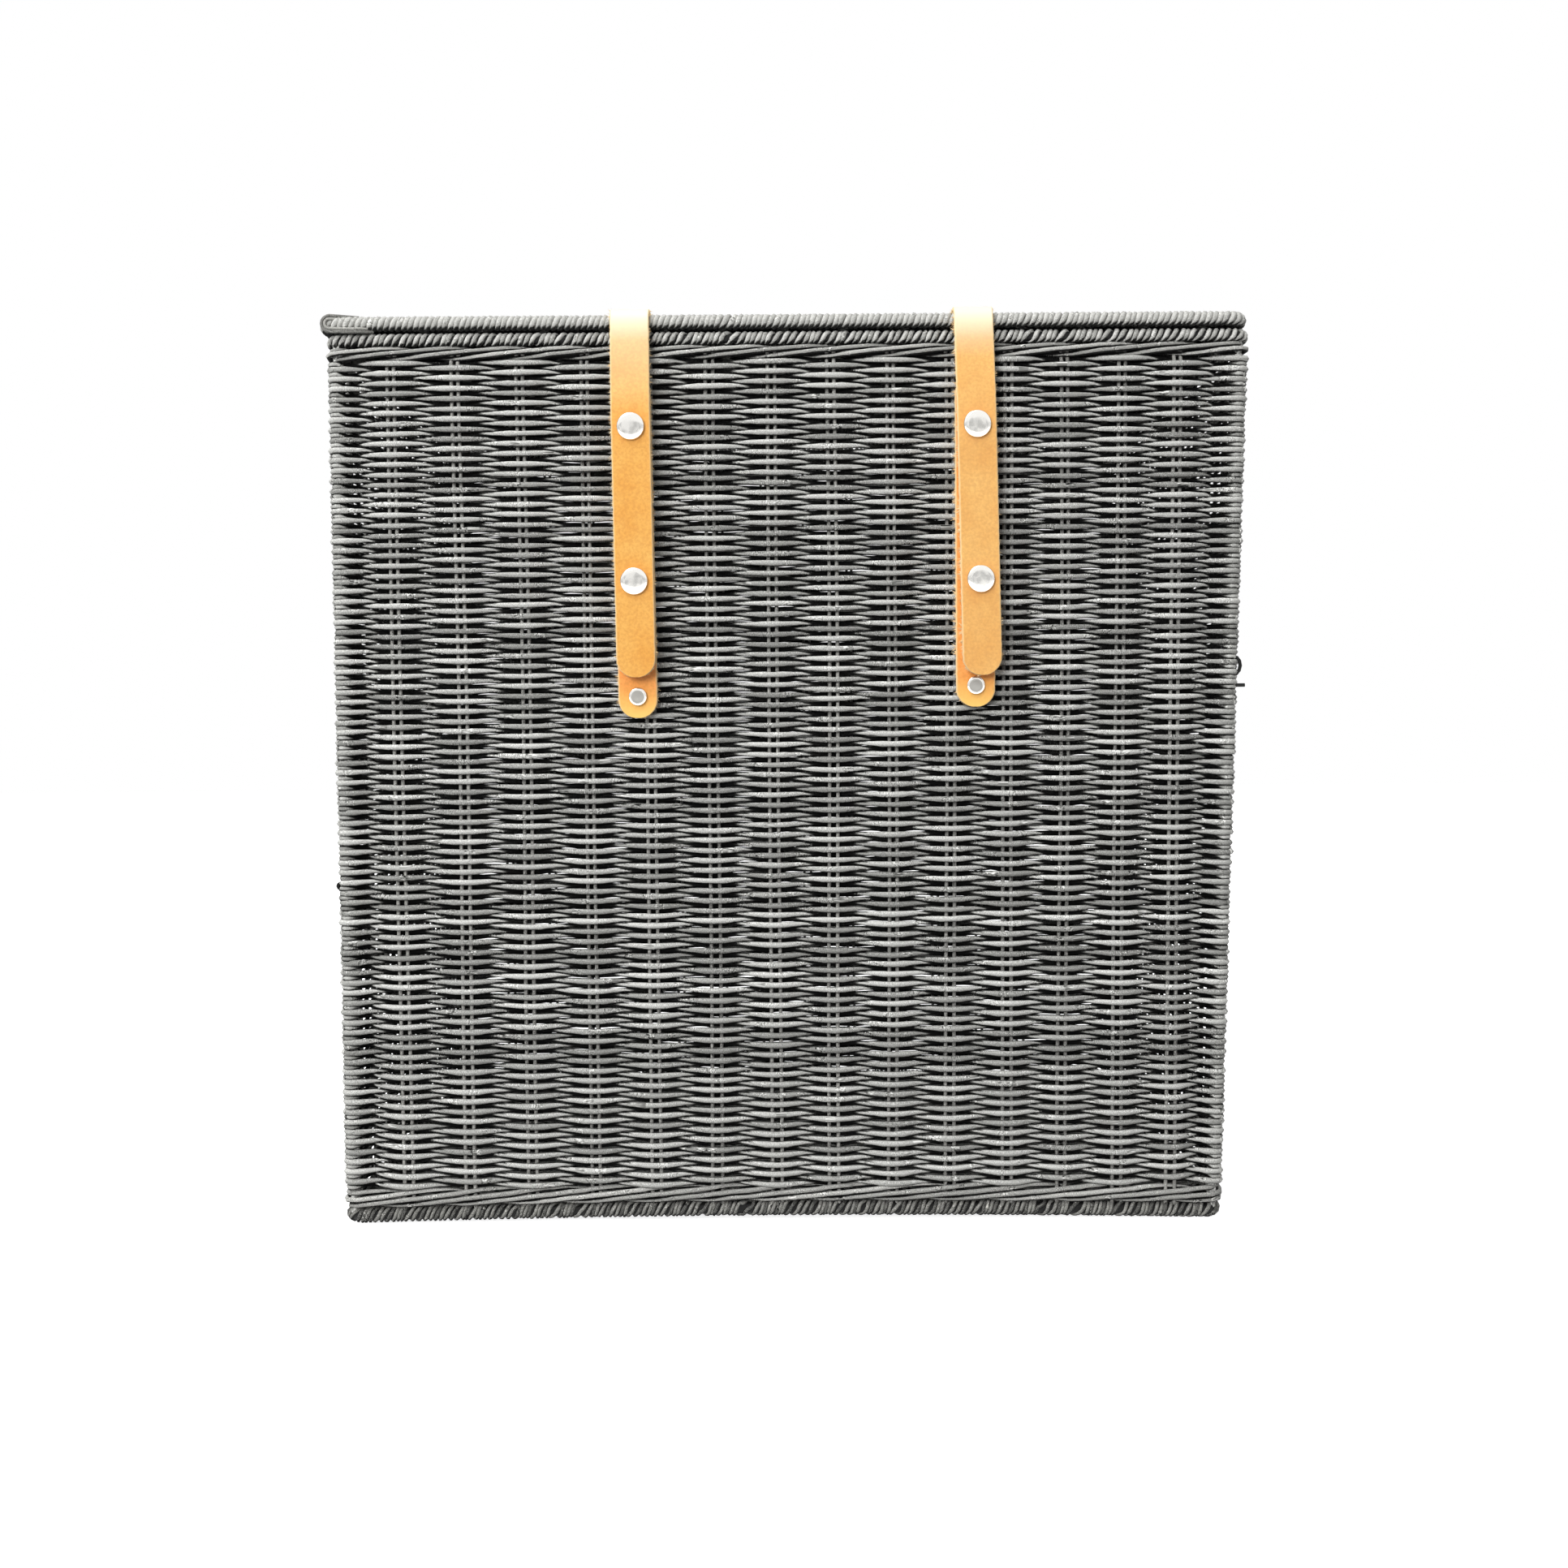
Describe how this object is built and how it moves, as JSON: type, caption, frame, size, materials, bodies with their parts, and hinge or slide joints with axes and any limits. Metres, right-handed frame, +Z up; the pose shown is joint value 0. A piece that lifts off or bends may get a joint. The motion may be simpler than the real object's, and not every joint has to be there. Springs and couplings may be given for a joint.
{
  "type": "storage basket",
  "caption": "Rectangular woven rattan storage basket, stained black, with a hinged woven lid and tan leather straps that close it at the front with snap fasteners.",
  "frame": {"origin": "on the floor, under the middle of the whole basket's outline", "axes": "+Z up, +X to the right as the straps are faced, -Y out of the front with the straps, +Y towards the hinge side"},
  "size_m": [0.482, 0.3562, 0.4761],
  "materials": {
    "woven_rattan": "black-stained rattan core, plain weave, dull sheen",
    "rattan_cane": "black-stained cane bound with rattan core, dull sheen",
    "tan_leather": "natural tan leather, cut edges, satin",
    "nickel_plate": "polished nickel plate"
  },
  "bodies": {
    "basket": {"front_weave": "woven_rattan", "back_weave": "woven_rattan", "left_weave": "woven_rattan", "right_weave": "woven_rattan", "base_weave": "woven_rattan", "front_stakes": "rattan_cane", "back_stakes": "rattan_cane", "left_stakes": "rattan_cane", "right_stakes": "rattan_cane", "base_stakes": "rattan_cane", "foot_rail_front": "rattan_cane", "foot_rail_back": "rattan_cane", "foot_rail_left": "rattan_cane", "foot_rail_right": "rattan_cane", "rim_rail_front": "rattan_cane", "rim_rail_back": "rattan_cane", "rim_rail_left": "rattan_cane", "rim_rail_right": "rattan_cane", "post_front_left": "rattan_cane", "post_front_right": "rattan_cane", "post_back_left": "rattan_cane", "post_back_right": "rattan_cane", "hinge_loop_left": "rattan_cane", "hinge_loop_right": "rattan_cane", "under_strap_left": "tan_leather", "under_strap_right": "tan_leather", "under_rivet_left_upper": "nickel_plate", "under_rivet_left_lower": "nickel_plate", "under_rivet_right_upper": "nickel_plate", "under_rivet_right_lower": "nickel_plate", "snap_stud_left_upper": "nickel_plate", "snap_stud_left_lower": "nickel_plate", "snap_stud_right_upper": "nickel_plate", "snap_stud_right_lower": "nickel_plate", "snap_post_left_upper": "nickel_plate", "snap_post_left_lower": "nickel_plate", "snap_post_right_upper": "nickel_plate", "snap_post_right_lower": "nickel_plate"},
    "lid": {"lid_weave": "woven_rattan", "lid_stakes": "rattan_cane", "lid_rail_front": "rattan_cane", "lid_rail_back": "rattan_cane", "lid_rail_left": "rattan_cane", "lid_rail_right": "rattan_cane", "strap_tab_left": "tan_leather", "strap_tab_right": "tan_leather", "tab_rivet_left_front": "nickel_plate", "tab_rivet_left_rear": "nickel_plate", "tab_rivet_right_front": "nickel_plate", "tab_rivet_right_rear": "nickel_plate"},
    "strap_left": {"closing_strap_left": "tan_leather", "snap_cap_left_upper": "nickel_plate", "snap_socket_left_upper": "nickel_plate", "snap_cap_left_lower": "nickel_plate", "snap_socket_left_lower": "nickel_plate"},
    "strap_right": {"closing_strap_right": "tan_leather", "snap_cap_right_upper": "nickel_plate", "snap_socket_right_upper": "nickel_plate", "snap_cap_right_lower": "nickel_plate", "snap_socket_right_lower": "nickel_plate"}
  },
  "joints": [
    {"name": "lid_hinge", "type": "hinge", "parent": "basket", "child": "lid", "pos_m": [0, 0.17135, 0.4674], "axis": [-1, 0, 0], "range_deg": [0, 200]},
    {"name": "strap_left_flex", "type": "hinge", "parent": "lid", "child": "strap_left", "pos_m": [-0.0789, -0.16926, 0.47221], "axis": [-1, 0, 0], "range_deg": [0, 165]},
    {"name": "strap_right_flex", "type": "hinge", "parent": "lid", "child": "strap_right", "pos_m": [0.0974, -0.16926, 0.47221], "axis": [-1, 0, 0], "range_deg": [0, 165]}
  ]
}
